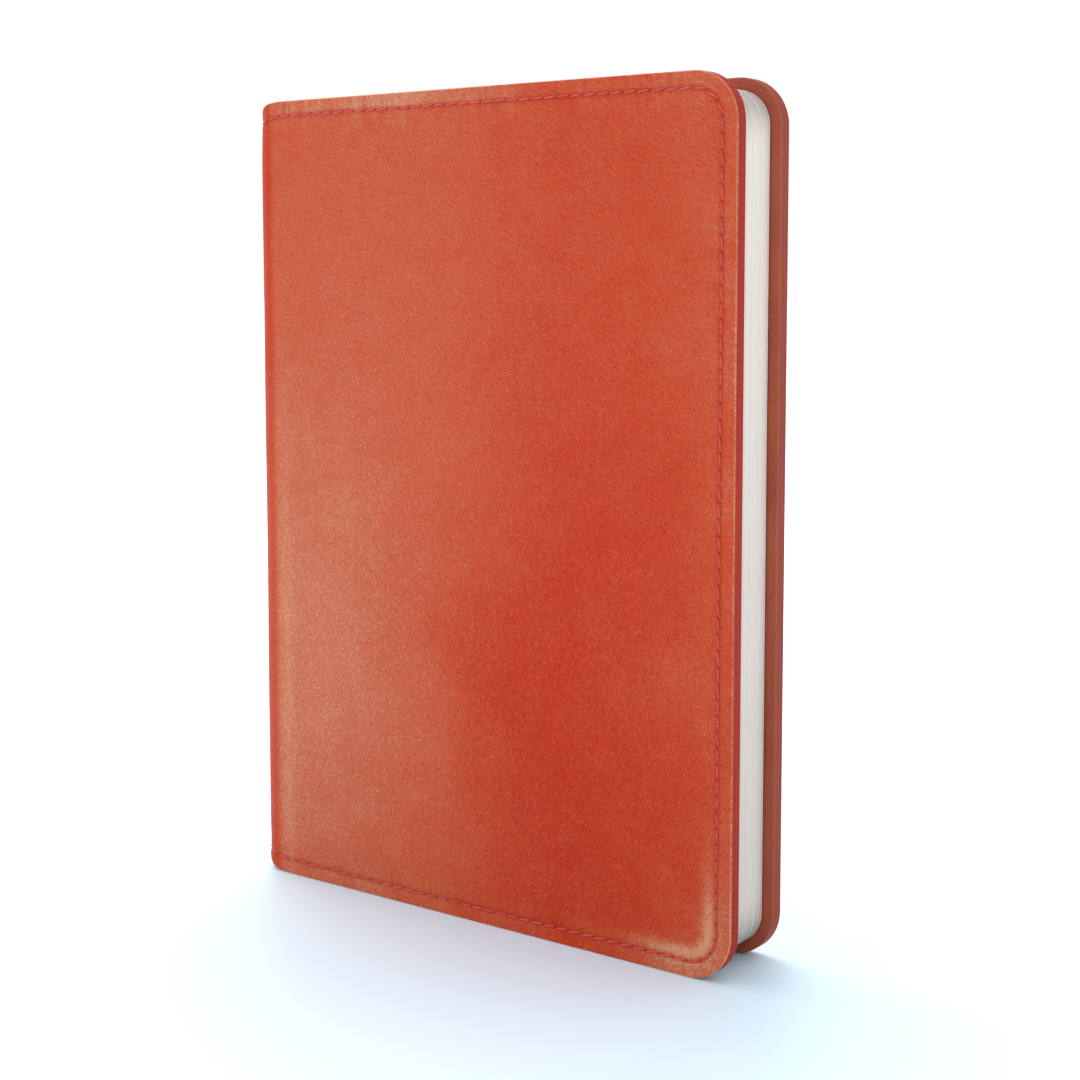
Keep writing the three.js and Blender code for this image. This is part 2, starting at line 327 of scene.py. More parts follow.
class Finish:
    """One material: its nodes, its shader, and the one way that a node is added."""

    def __init__(self, name, **shader):
        self.material = bpy.data.materials.new(name)
        self.material.use_nodes = True
        self.tree = self.material.node_tree
        self.tree.nodes.clear()
        self.output = self.tree.nodes.new("ShaderNodeOutputMaterial")
        self.shader = self.tree.nodes.new("ShaderNodeBsdfPrincipled")
        self.tree.links.new(self.shader.outputs[0], self.output.inputs[0])
        for key, value in shader.items():
            self.feed(key.replace("_", " ").title().replace("Ior", "IOR"), value)

    def feed(self, socket, value):
        """Sets or links one socket of the shader."""
        target = self.shader.inputs[socket]
        if isinstance(value, Wire):
            self.tree.links.new(value.socket, target)
        else:
            target.default_value = value

    def node(self, kind, settings=None, inputs=None, output=0):
        """Adds a node: its settings, its sockets' values or links, and the output to use."""
        made = self.tree.nodes.new(kind)
        for key, value in (settings or {}).items():
            if key == "stops":
                self._stops(made.color_ramp, value)
            else:
                setattr(made, key, value)
        for key, value in (inputs or {}).items():
            if isinstance(value, Wire):
                self.tree.links.new(value.socket, made.inputs[key])
            else:
                made.inputs[key].default_value = value
        return Wire(self, made.outputs[output])

    @staticmethod
    def _stops(ramp, stops):
        """Gives a colour ramp its (position, colour) stops."""
        while len(ramp.elements) < len(stops):
            ramp.elements.new(0.5)
        for element, (position, colour) in zip(ramp.elements, stops):
            element.position = position
            element.color = colour

    def own(self, attribute, output="Fac"):
        """A number that the piece keeps at each point."""
        settings = {"attribute_type": "GEOMETRY", "attribute_name": attribute}
        return self.node("ShaderNodeAttribute", settings, {}, output)

    def own_place(self, attribute):
        """A place on the flat hide, leaf or thread that the piece keeps at each point."""
        return self.own(attribute, "Vector")

    def place(self):
        """The point on the piece, in millimetres."""
        point = self.node("ShaderNodeTexCoord", {}, {}, "Object")
        return self.node("ShaderNodeVectorMath", {"operation": "SCALE"}, {0: point, 3: 1 / MM})

    def split(self, vector):
        """The three numbers of a vector."""
        made = self.node("ShaderNodeSeparateXYZ", {}, {0: vector})
        outputs = made.socket.node.outputs
        return [Wire(self, outputs[i]) for i in range(3)]

    def join(self, first, second):
        """A vector of two numbers."""
        return self.node("ShaderNodeCombineXYZ", {}, {0: first, 1: second})

    def stretched(self, vector, scale):
        """The vector scaled along its three directions, so that a pattern on it is stretched."""
        return self.node("ShaderNodeVectorMath", {"operation": "MULTIPLY"}, {0: vector, 1: scale})

    def noise(self, vector, scale, detail=2.0, rough=0.5, warp=0.0, flat=True, output="Fac"):
        """Noise from 0 to 1, with features about 1 / scale millimetres across.

        flat reads only the vector's first two numbers, as on a sheet."""
        return self.node("ShaderNodeTexNoise", {"noise_dimensions": "2D" if flat else "3D"},
                         {"Vector": vector, "Scale": scale, "Detail": detail,
                          "Roughness": rough, "Distortion": warp}, output)

    def cells(self, vector, scale, feature="F1"):
        """Distance within irregular cells about 1 / scale millimetres across, on a sheet."""
        return self.node("ShaderNodeTexVoronoi",
                         {"feature": feature, "voronoi_dimensions": "2D"},
                         {"Vector": vector, "Scale": scale, "Randomness": 1.0})

    def wandering(self, vector, scale, amount):
        """The vector pushed about by noise, by up to half the amount each way."""
        push = self.noise(vector, scale, 2.0, 0.5, output="Color")
        push = self.node("ShaderNodeVectorMath", {"operation": "MULTIPLY_ADD"},
                         {0: push, 1: (amount,) * 3, 2: (-amount / 2,) * 3})
        return self.node("ShaderNodeVectorMath", {"operation": "ADD"}, {0: vector, 1: push})

    def mix(self, factor, first, second):
        """From the first colour at factor 0 to the second at 1, through sockets 6 and 7."""
        settings = {"data_type": "RGBA", "blend_type": "MIX", "clamp_factor": True}
        return self.node("ShaderNodeMix", settings, {0: factor, 6: first, 7: second}, 2)

    def relief(self, height):
        """Feeds the normal with a height in millimetres."""
        bump = self.node("ShaderNodeBump", {}, {"Height": height, "Distance": MM,
                                                "Strength": 1.0})
        self.feed("Normal", bump)


def stitch_marks(along, inset, hole_start):
    """The seam's marks: the wave from stitch to hole, the strip it pulls, and the holes."""
    wave = (along * (2 * math.pi / PITCH)).cos()
    by_seam = inset.bell(SEAM, 1.2)
    hole = wave.ramp(hole_start, 1.0) * inset.bell(SEAM, 0.42)
    return wave, by_seam, hole


def saddle_leather():
    """Pull-up leather: deep orange red that goes tan where it is stretched, rubbed or dry, with a
    painted sheen and painted highlights laid into its colour.
    """
    f = Finish("saddle_leather", roughness=0.5)
    hide = f.own_place("hide")
    across, up, _ = f.split(hide)
    along = f.own("along")
    inset = f.own("inset")
    side = abs(across)

    cloud = f.noise(hide, 0.022, 3.0, 0.55)
    mottle = f.noise(hide, 0.10, 3.0, 0.6, 0.4)
    patch = f.noise(hide, 0.035, 2.0, 0.6).ramp(0.40, 0.62)
    reach = side + (cloud - 0.5) * 40.0
    rise = up + (patch - 0.5) * 14.0

    # pale goes from 0, the full red, to 1, the driest tan. Places are millimetres along the
    # hide from the spine's middle and up from the tail, made to wander by the clouds.
    # The lower spine side has gone pale and carries a painted sheen as well, the middle carries a
    # painted sheen towards the spine, the upper part and the fore edge have gone a little pale,
    # and the lower middle has stayed deep red.
    low_spine_pale_and_sheen = reach.bell(26.0, 52.0) * rise.bell(62.0, 84.0)
    upper = rise.ramp(50.0, 200.0) * PALER["upper"] + reach.ramp(122.0, 70.0) * PALER["middle"]
    fore = reach.ramp(138.0, 158.0) * PALER["fore"]
    ember = reach.bell(108.0, 34.0) * rise.bell(56.0, 62.0)
    pale = low_spine_pale_and_sheen * PALER["low_spine_pale_and_sheen"] + upper + fore + PALE_BASE
    pale = pale - ember * REDDER["ember"] + (mottle - 0.5) * PALER["mottle"]

    # The fold is rich red, with a pale strip where the board begins, partly pull-up and partly a
    # painted highlight, and the spine is paler.
    past_hinge = side - HINGE_S
    fold_red = past_hinge.ramp(2.2, -0.6)
    band = past_hinge.bell(4.6, 2.6) * up.ramp(190.0, 50.0)
    spine_face = past_hinge.ramp(-6.0, -11.0)
    pale = pale + band * PALER["band"] - fold_red * REDDER["fold"]
    pale = pale + spine_face * PALER["spine_face"]

    # The margin outside the seam, the swell just inside it and the arris are rubbed pale, and the
    # arris carries a painted highlight as well.
    margin = inset.ramp(4.2, 3.2)
    shoulder = inset.bell(6.0, 2.2)
    corner_low = reach.ramp(112.0, 156.0) * up.ramp(44.0, 8.0)
    head_rub = side.bell(62.0, 40.0) * up.ramp(170.0, 200.0)
    margin_wear = patch * PALER["margin"] + corner_low * PALER["margin_corner"]
    shoulder_wear = patch * PALER["shoulder"] + corner_low * PALER["shoulder_corner"]
    pale = pale + margin * (margin_wear + head_rub * PALER["margin_head"])
    pale = pale + shoulder * shoulder_wear
    pale = pale + inset.ramp(0.42, 0.12) * PALER["arris"]

    # Grain: small pebbles, flecks and soft marks, drawn out along shallow arcs across the
    # board, and fine wrinkles on the same arcs where the hide has been bent.
    rise_from_middle = up - ARC_MIDDLE
    arc = side + rise_from_middle * rise_from_middle * ARC_BEND
    flow = f.join(arc, up * 0.62)
    grain = f.noise(flow, 2.1, 2.0, 0.75, 0.6)
    marks = f.noise(flow, 0.8, 2.0, 0.6, 0.5)
    pebbles = f.cells(hide, 1.9)
    fleck = f.noise(hide, 3.3, 1.0, 0.7)
    bent = f.stretched(f.wandering(flow, 0.22, 4.0), (1.3, 0.5, 1.0))
    bent_zone = (ember * 1.2 + (cloud - 0.44) * 2.4).clamp() * marks.ramp(0.34, 0.54)
    wrinkle = f.cells(bent, 0.85, "DISTANCE_TO_EDGE").ramp(0.14, 0.0) * bent_zone

    # Short creases square to the seam, and the pull of each stitch.
    pucker = f.noise(f.join(along, inset * 0.15), 0.62, 3.0, 0.62)
    near_seam = inset.ramp(14.0, 2.0) * patch
    wave, by_seam, hole = stitch_marks(along, inset, 0.80)

    height = (0.5 - pebbles) * STANDS["pebbles"] + (grain - 0.5) * STANDS["grain"]
    height = height + (marks - 0.5) * STANDS["marks"]
    height = height + (pucker - 0.5) * near_seam * STANDS["pucker"]
    height = height + wrinkle * STANDS["wrinkle"] + (fleck - 0.5) * STANDS["fleck"]
    height = height - wave * by_seam * STANDS["stitch"] - hole * STANDS["hole"]

    pale = pale + (grain - 0.5) * PALER["grain"] + (marks - 0.5) * PALER["marks"]
    pale = pale + wrinkle * PALER["wrinkle"] + (fleck - 0.5) * PALER["fleck"]
    pale = pale + (pucker - 0.5) * near_seam * PALER["pucker"]
    pale = (pale + (0.42 - pebbles) * PALER["pebbles"]).clamp()

    colour = f.node("ShaderNodeValToRGB", {"stops": LEATHER_TONES}, {0: pale})
    # Painted shade: the seam's valley and its awl holes are darkened towards a deeper red.
    seam_shade = (inset.bell(SEAM, 0.75) * 0.34 + hole * 0.75).clamp()
    colour = f.mix(seam_shade, colour, SEAM_SHADE_RED)
    f.feed("Base Color", colour)
    f.feed("Roughness", (0.50 + (grain - 0.5) * 0.3 + (0.5 - cloud) * 0.1).clamp())
    f.feed("Specular IOR Level", 0.10)
    f.feed("Coat Weight", (pale * 0.5 - 0.16).clamp())
    f.feed("Coat Roughness", 0.36)
    f.relief(height)
    return f.material


def edge_paint(name, tones):
    """Painted cut edge: coats of paint with fine drag lines along the layers, a little worn."""
    f = Finish(name, specular_ior_level=0.1)
    hide = f.own_place("hide")
    layers = f.own("layer")
    along = f.own("along")
    sway = f.noise(hide, 0.2, 2.0, 0.6)
    drag = f.noise(f.join(layers + sway * 0.4, along * 0.02), 2.4, 3.0, 0.6)
    worn = f.noise(hide, 0.35, 4.0, 0.65, flat=False)
    chip = f.noise(hide, 1.1, 2.0, 0.6, flat=False).ramp(0.66, 0.74)
    tone = (0.55 + (drag - 0.5) * 0.9 + (worn - 0.5) * 0.7).clamp()
    f.feed("Base Color", f.mix(chip * 0.4, f.mix(tone, *tones), CHIPPED_PAINT))
    f.feed("Roughness", 0.62 + (worn - 0.5) * 0.2)
    f.relief((drag - 0.5) * 0.05 + (worn - 0.5) * 0.08)
    return f.material


def lining_leather():
    """Thin brown lining leather, close-grained and a little dusty."""
    f = Finish("lining_leather", specular_ior_level=0.2)
    hide = f.own_place("hide")
    along = f.own("along")
    inset = f.own("inset")
    pebbles = f.cells(hide, 1.1)
    fine = f.noise(hide, 2.6, 3.0, 0.6)
    cloud = f.noise(hide, 0.04, 4.0, 0.6)
    wave, by_seam, hole = stitch_marks(along, inset, 0.86)
    # Painted shade: darker along the seam's valley, and dark brown in the awl holes.
    tone = (0.5 + (cloud - 0.5) * 0.9 + (fine - 0.5) * 0.5 - by_seam * 0.3).clamp()
    f.feed("Base Color", f.mix(hole, f.mix(tone, *LINING), AWL_HOLE_SHADE))
    f.feed("Roughness", 0.6 + (fine - 0.5) * 0.2)
    f.relief((0.6 - pebbles) * 0.06 + (fine - 0.5) * 0.06 - wave * by_seam * 0.05 - hole * 0.3)
    return f.material


def flesh_side():
    """The undyed inner side of the cover leather and the faces of the core board."""
    f = Finish("flesh_side", specular_ior_level=0.2)
    hide = f.own_place("hide")
    nap = f.noise(hide, 1.6, 4.0, 0.7)
    f.feed("Base Color", f.mix(nap, *NAP))
    f.feed("Roughness", 0.86 + (nap - 0.5) * 0.1)
    f.relief((nap - 0.5) * 0.15)
    return f.material


def waxed_thread(name, tones):
    """Waxed thread of two plies: fine twist lines and a soft shine."""
    f = Finish(name, specular_ior_level=0.5)
    twist = f.own_place("twist")
    hide = f.own_place("hide")
    strands = f.noise(f.stretched(twist, (2.4, 1.0, 0.5)), 1.0, 2.0, 0.6)
    age = f.noise(hide, 0.12, 3.0, 0.6)
    tone = ((strands - 0.5) * 1.1 + 0.5 + (age - 0.5) * 0.8).clamp()
    f.feed("Base Color", f.mix(tone, *tones))
    f.feed("Roughness", 0.38 + (strands - 0.5) * 0.3)
    f.relief((strands - 0.5) * 0.08)
    return f.material


def page_paper():
    """Uncoated cream paper seen as flat leaves and as their stacked edges."""
    f = Finish("page_paper", specular_ior_level=0.25)
    leaf = f.own_place("leaf")
    cut = f.own("cut")
    tooth = f.noise(leaf, 1.4, 4.0, 0.65, flat=False)
    sheets = f.noise(f.stretched(leaf, (0.02, 9.0, 0.02)), 1.0, 2.0, 0.7, flat=False)
    smudge = f.noise(leaf, 0.035, 3.0, 0.5, flat=False)
    tone = (0.5 + (sheets - 0.5) * 0.35 + (smudge - 0.5) * 0.5).clamp()
    # The stacked edge has painted shade at its two fore corners, where it rounds away, and
    # painted shade makes it a little darker towards the foot.
    reach, _, up = f.split(leaf)
    from_end = HEIGHT / 2 - abs(up - HEIGHT / 2)
    corner = from_end.ramp(18.0, 3.0) * reach.ramp(FORE_X - 16.0, FORE_X - 7.0)
    edge_shade = corner * 0.72 + up.ramp(200.0, 0.0) * 0.16
    edge = f.mix(edge_shade.clamp(), f.mix(tone, *LEAF_EDGE), PAGE_EDGE_SHADE)
    f.feed("Base Color", f.mix(cut, f.mix(tooth, *LEAF_FACE), edge))
    f.feed("Roughness", 0.88 + (tooth - 0.5) * 0.1)
    f.relief((tooth - 0.5) * 0.02 + (sheets - 0.5) * cut * 0.10)
    return f.material


def endpaper():
    """Heavier ivory paper with a laid texture, pasted to the boards and free as flyleaves."""
    f = Finish("endpaper", specular_ior_level=0.25)
    leaf = f.own_place("leaf")
    fibre = f.noise(leaf, 0.9, 5.0, 0.7, flat=False)
    laid = f.noise(f.stretched(leaf, (0.04, 0.04, 2.2)), 1.0, 2.0, 0.5, flat=False)
    f.feed("Base Color", f.mix((fibre * 0.6 + laid * 0.4).clamp(), *IVORY))
    f.feed("Roughness", 0.9 + (fibre - 0.5) * 0.1)
    f.relief((fibre - 0.5) * 0.04 + (laid - 0.5) * 0.03)
    return f.material


def glued_back():
    """The rounded backs of the sections under a thin coat of glue."""
    f = Finish("glued_back", specular_ior_level=0.45)
    place = f.place()
    sheets = f.noise(f.stretched(place, (0.4, 7.0, 0.05)), 1.0, 3.0, 0.6, flat=False)
    glue = f.noise(place, 0.2, 4.0, 0.6, flat=False)
    tone = (0.5 + (sheets - 0.5) * 0.8 + (glue - 0.5) * 0.7).clamp()
    f.feed("Base Color", f.mix(tone, *GLUE))
    f.feed("Roughness", 0.62 + (glue - 0.5) * 0.4)
    f.relief((sheets - 0.5) * 0.12 + (glue - 0.5) * 0.1)
    return f.material


def strip_board():
    """Grey-brown board of the spine strip: short fibres and a slightly paler skin."""
    f = Finish("strip_board", specular_ior_level=0.2)
    place = f.place()
    fibres = f.noise(f.stretched(place, (2.2, 2.2, 0.35)), 1.0, 4.0, 0.65, flat=False)
    cloud = f.noise(place, 0.08, 3.0, 0.55, flat=False)
    tone = (0.5 + (fibres - 0.5) * 0.9 + (cloud - 0.5) * 0.6).clamp()
    f.feed("Base Color", f.mix(tone, *BOARD_FIBRE))
    f.feed("Roughness", 0.9 + (fibres - 0.5) * 0.1)
    f.relief((fibres - 0.5) * 0.05)
    return f.material


def open_weave():
    """Open-weave binding cloth: crossing threads, CLOTH_THREAD apart in each direction."""
    f = Finish("open_weave", specular_ior_level=0.2)
    thread_turn = 2 * math.pi / CLOTH_THREAD
    _, width, length = f.split(f.place())
    warp = (width * thread_turn).cos()
    weft = (length * thread_turn).cos()
    yarn = f.node("ShaderNodeMath", {"operation": "MAXIMUM"}, {0: warp, 1: weft})
    fuzz = f.noise(f.place(), 3.0, 3.0, 0.7, flat=False)
    tone = (yarn * 0.4 + 0.4 + (fuzz - 0.5) * 0.6).clamp()
    f.feed("Base Color", f.mix(tone, *CLOTH))
    f.feed("Roughness", 0.92 + (fuzz - 0.5) * 0.08)
    f.relief(yarn * 0.1 + fuzz * 0.05)
    return f.material


LEATHER_FACE = saddle_leather()
FRONT_EDGE = edge_paint("front_edge_paint", FRONT_PAINT)
BACK_EDGE = edge_paint("back_edge_paint", BACK_PAINT)
LINING_FACE = lining_leather()
FLESH = flesh_side()
OUTER_THREAD = waxed_thread("outer_thread", OUTER_RED)
INNER_THREAD = waxed_thread("inner_thread", INNER_RED)
PAGES = page_paper()
ENDPAPER = endpaper()
GLUED = glued_back()
STRIP = strip_board()
WEAVE = open_weave()

# ---------------------------------------------------------------- shapes


def bevel(inset, radius):
    """Depth of a quarter-round arris: r - sqrt(r^2 - (r - m)^2) for an inset m below r."""
    left = np.clip(radius - inset, 0, radius)
    return radius - np.sqrt(radius ** 2 - left ** 2)


def smooth(x, low, high):
    """0 at low, 1 at high, 3u^2 - 2u^3 between them."""
    u = np.clip((x - low) / (high - low), 0, 1)
    return u * u * (3 - 2 * u)


def rounded(a, b, radius):
    """Turns square rings to round ones at a corner.

    a and b are distances from the two edges. A point of ring m = min(a, b) goes to the same
    share p of the way along an arc of radius R - m about the corner's centre.
    Returns the new a and b, and p, which is 0 on the side of edge a and 1 on that of b."""
    m = np.minimum(a, b)
    room = np.maximum(radius - m, 1e-6)
    share = np.where(a <= b, (radius - b) / (2 * room), (room + a - m) / (2 * room))
    inside = (a < radius) & (b < radius)
    angle = np.clip(share, 0, 1) * math.pi / 2
    new_a = np.where(inside, radius - room * np.cos(angle), a)
    new_b = np.where(inside, radius - room * np.sin(angle), b)
    return new_a, new_b, np.where(inside, np.clip(share, 0, 1), np.where(a < b, 0.0, 1.0))


def outline_grid(s, t, far, height, radius):
    """A grid over 0..far by 0..height whose two far corners are rounded.

    Returns the moved s and t, the inset from the nearest of the three outer edges, and the
    corner share p."""
    s, t = np.meshgrid(s, t, indexing="ij")
    a = far - s
    b = np.minimum(t, height - t)
    inset = np.minimum(a, b)
    new_a, new_b, share = rounded(a, b, radius)
    return far - new_a, np.where(t < height / 2, new_b, height - new_b), inset, share


def seam_distance(s, t, share):
    """Distance along the seam: tail edge, corner, fore edge, corner, head edge.

    Along a straight edge it grows with s or t; round a corner it grows with the corner share
    times the length of the seam's arc."""
    near_tail = t < HEIGHT / 2
    corner_s = s > SEAM_LONG
    low_corner = SEAM_LONG + (1 - share) * SEAM_ARC
    high_corner = FORE_END + share * SEAM_ARC
    fore = FORE_START + np.clip(t - CORNER, 0, SEAM_FORE)
    on_edge_a = (share == 0.0) & corner_s
    tail = np.where(corner_s, np.where(on_edge_a & (t > CORNER), fore, low_corner), s)
    head = np.where(corner_s, np.where(on_edge_a & (t < HEIGHT - CORNER), fore, high_corner),
                    SEAM_LENGTH - s)
    along = np.where(near_tail, tail, head)
    closer_fore = (FORE_S - s < np.minimum(t, HEIGHT - t)) & ~corner_s
    return np.where(closer_fore, fore, along)


def wrap(side, s, t, depth):
    """The cover's sheet bent round the spine.

    s runs along the outside from the spine's middle: flat spine, a quarter turn of radius
    FOLD, then the flat board. depth goes inwards along the local normal. side is -1 for the
    front and 1 for the back."""
    turn = np.clip((s - FLAT_HALF) / FOLD, 0, math.pi / 2)
    out_x = -np.cos(turn)
    out_y = np.sin(turn)
    radius = FOLD - depth
    x = HINGE_X + radius * out_x + np.maximum(s - HINGE_S, 0)
    y = FLAT_HALF + radius * out_y + np.minimum(s - FLAT_HALF, 0)
    return np.stack([x, side * y, t + np.zeros_like(x)], axis=-1)


def edge_dip(s):
    """How far the head and tail edges lie in: a quarter ellipse that begins on the board."""
    u = np.clip((HINGE_S + DIP_START - s) / DIP_RUN, 0, 1)
    return SPINE_DIP * (1 - np.sqrt(1 - u * u))


def seam_dip(s):
    """How far the seam lies in: a slow rise from the board to the spine."""
    return SEAM_DIP * smooth(HINGE_S - s, *SEAM_DIP_SPAN)


def drawn_in(s, t):
    """The dip at a distance t from the head or tail edge.

    It is the edge's dip at the edge, then the seam's, then none."""
    past_edge = smooth(t, *EDGE_FADE)
    return (edge_dip(s) * (1 - past_edge) + seam_dip(s) * past_edge) * (1 - smooth(t, *SEAM_FADE))


def dipped(s, t):
    """Heights drawn in towards the middle: t, plus the tail's dip, minus the head's."""
    return t + drawn_in(s, t) - drawn_in(s, HEIGHT - t)


def swell(s, t, inset, side):
    """Depth of the outer face: the sum of five parts, some of them below 0.

    The seam valley is VALLEY_DEPTH exp(-((m - SEAM) / VALLEY_WIDTH)^2) at an inset m. The
    margin outside it lies lower and the board inside it higher, by smooth steps. Products of
    slow sines make both uneven, and the foot of the spine flares outwards."""
    valley = VALLEY_DEPTH * np.exp(-((inset - SEAM) / VALLEY_WIDTH) ** 2)
    margin = MARGIN_DROP * (1 - smooth(inset, SEAM - 0.6, SEAM + 0.4))
    crown = -CROWN_RISE * smooth(inset, *CROWN_SPAN)
    uneven = BROAD_WAVE * np.sin(s / 17.0 + side) * np.sin(t / 23.0 + 0.6)
    uneven += SMALL_WAVE * np.sin(s / 7.3 + t / 11.0 + 2.0 * side)
    by_spine = 1 - smooth(s, HINGE_S - 5, HINGE_S + 2)
    flare = -FOOT_FLARE * (1 - smooth(t, *FOOT_SPAN)) * by_spine
    return valley + margin + crown + uneven * smooth(inset, 0.5, 6.0) + flare


def build(name, points, faces, attributes, materials, slots=None):
    """One mesh from arrays: points in millimetres, four-cornered faces, point attributes.

    slots gives each face's place in the list of materials."""
    mesh = bpy.data.meshes.new(name)
    count = len(points)
    mesh.vertices.add(count)
    mesh.vertices.foreach_set("co", (np.asarray(points) * MM).astype(np.float32).ravel())
    mesh.loops.add(faces.size)
    mesh.loops.foreach_set("vertex_index", faces.astype(np.int32).ravel())
    mesh.polygons.add(len(faces))
    mesh.polygons.foreach_set("loop_start", np.arange(0, faces.size, 4, dtype=np.int32))
    for label, values in attributes.items():
        values = np.asarray(values, dtype=np.float32)
        vector = values.ndim == 2
        layer = mesh.attributes.new(label, "FLOAT_VECTOR" if vector else "FLOAT", "POINT")
        layer.data.foreach_set("vector" if vector else "value", values.ravel())
    for material in materials:
        mesh.materials.append(material)
    if slots is not None:
        mesh.polygons.foreach_set("material_index", slots.astype(np.int32))
    mesh.update(calc_edges=True)
    mesh.validate()
    mesh.shade_smooth()
    mesh.set_sharp_from_angle(angle=SHARP_ANGLE)
    obj = bpy.data.objects.new(name, mesh)
    bpy.context.collection.objects.link(obj)
    return obj


def grid_faces(rows, columns, start=0, flip=False):
    """Four-cornered faces of a grid of points numbered row by row."""
    i, j = np.meshgrid(np.arange(rows - 1), np.arange(columns - 1), indexing="ij")
    first = (start + i * columns + j).ravel()
    faces = np.stack([first, first + columns, first + columns + 1, first + 1], axis=1)
    return faces[:, ::-1] if flip else faces


def ring_faces(rings, count):
    """Four-cornered faces between closed rings of points numbered ring by ring."""
    i, j = np.meshgrid(np.arange(rings - 1), np.arange(count), indexing="ij")
    first = (i * count + j).ravel()
    beside = (i * count + (j + 1) % count).ravel()
    return np.stack([first, first + count, beside + count, beside], axis=1)


def border(rows, columns):
    """Numbers of a grid's border points, once round."""
    bottom = np.arange(rows) * columns
    right = (rows - 1) * columns + np.arange(1, columns)
    top = np.arange(rows - 2, -1, -1) * columns + columns - 1
    left = np.arange(columns - 2, 0, -1)
    return np.concatenate([bottom, right, top, left])


def shell_faces(rows, columns, flip):
    """A closed shell from an outer and an inner grid: both skins and the wall between them.

    Returns the faces and, for each, 0 on the outer skin, 1 on the wall, 2 on the inner skin."""
    size = rows * columns
    outer = grid_faces(rows, columns, 0, flip)
    inner = grid_faces(rows, columns, size, not flip)
    loop = border(rows, columns)
    after = np.roll(loop, -1)
    wall = np.stack([loop, loop + size, after + size, after], axis=1)
    if flip:
        wall = wall[:, ::-1]
    skin = np.concatenate([np.zeros(len(outer)), np.ones(len(wall)), np.full(len(inner), 2)])
    return np.concatenate([outer, wall, inner]), skin


def sheet_stations(start):
    """Places along the sheet with a grid line: close at the fold, hinge and fore edge."""
    fold = np.linspace(FLAT_HALF, HINGE_S, 19)
    hinge = HINGE_S + np.array([0.4, 0.8, 1.2, 1.6, 2.0, 2.5, 3.0, 3.6, 4.4, 5.4])
    board = np.linspace(HINGE_S + 7.0, FORE_S - CORNER, 46)
    stations = np.concatenate([np.linspace(0, FLAT_HALF, 5)[:-1], fold, hinge, board[:-1],
                               FORE_S - RINGS[::-1]])
    return np.concatenate([[start], stations[stations > start + 0.05]])


def height_stations():
    """Places up the cover with a grid line: close at the head and tail."""
    middle = np.linspace(CORNER, HEIGHT - CORNER, 66)[1:-1]
    return np.concatenate([RINGS, middle, HEIGHT - RINGS[::-1]])


def cover_layer(name, side, start, outer_depth, inner_depth, materials):
    """One layer of the cover as a closed shell between two depths below the outer face.

    outer_depth and inner_depth are functions of s, t and the inset. The materials are for the
    outer skin, the cut edge and the inner skin. Each point keeps its place on the flat hide,
    its depth in the layers, its inset, and its distance along the seam."""
    s, t, inset, share = outline_grid(sheet_stations(start), height_stations(),
                                      FORE_S, HEIGHT, CORNER)
    along = seam_distance(s, t, share)
    height = dipped(s, t)
    depths = [outer_depth(s, t, inset), inner_depth(s, t, inset)]
    skins = [wrap(side, s, height, depth) for depth in depths]
    points = np.concatenate([skin.reshape(-1, 3) for skin in skins])
    faces, skin = shell_faces(*s.shape, side > 0)
    layer = np.concatenate([depths[0].ravel(), depths[1].ravel()])
    hide = np.stack([np.tile((-side * s).ravel(), 2), np.tile(height.ravel(), 2), layer],
                    axis=-1)
    attributes = {"hide": hide, "layer": layer,
                  "along": np.tile(along.ravel(), 2), "inset": np.tile(inset.ravel(), 2)}
    return build(name, points, faces, attributes, materials, skin)


def hinge_line(side, reach):
    """A point on a hinge axis's level, reach millimetres past the hinge line."""
    return ((HINGE_X + reach) * MM, side * HALF_THICKNESS * MM, 0.0)


def follow_cover(obj, side):
    """Bakes the piece's placement into its points. The cover's name and two points on its hinge
    line are worked out, but nothing uses them.
    """
    cover = "front_cover" if side < 0 else "back_cover"
    hinge_line(side, -BLEND_HALF)
    hinge_line(side, BLEND_HALF)
    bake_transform(obj)


def seam_point(q):
    """The seam's path in the flat sheet: its place (s, t) and heading at a distance q.

    The heading turns by q / SEAM_RADIUS round each corner, and the place is the corner's
    centre plus SEAM_RADIUS (sin, -cos) of it; between them the seam is straight."""
    head_start = FORE_END + SEAM_ARC
    turn = np.clip((q - SEAM_LONG) / SEAM_RADIUS, 0, math.pi / 2)
    turn = turn + np.clip((q - FORE_END) / SEAM_RADIUS, 0, math.pi / 2)
    s = np.where(q < SEAM_LONG, q, SEAM_LONG + SEAM_RADIUS * np.sin(turn))
    s = np.where(q > head_start, SEAM_LONG - (q - head_start), s)
    low = CORNER - SEAM_RADIUS * np.cos(turn)
    high = HEIGHT - CORNER - SEAM_RADIUS * np.cos(turn)
    t = np.where(q < FORE_START, low, CORNER + q - FORE_START)
    t = np.where(q > FORE_END, high, t)
    return s, t, turn


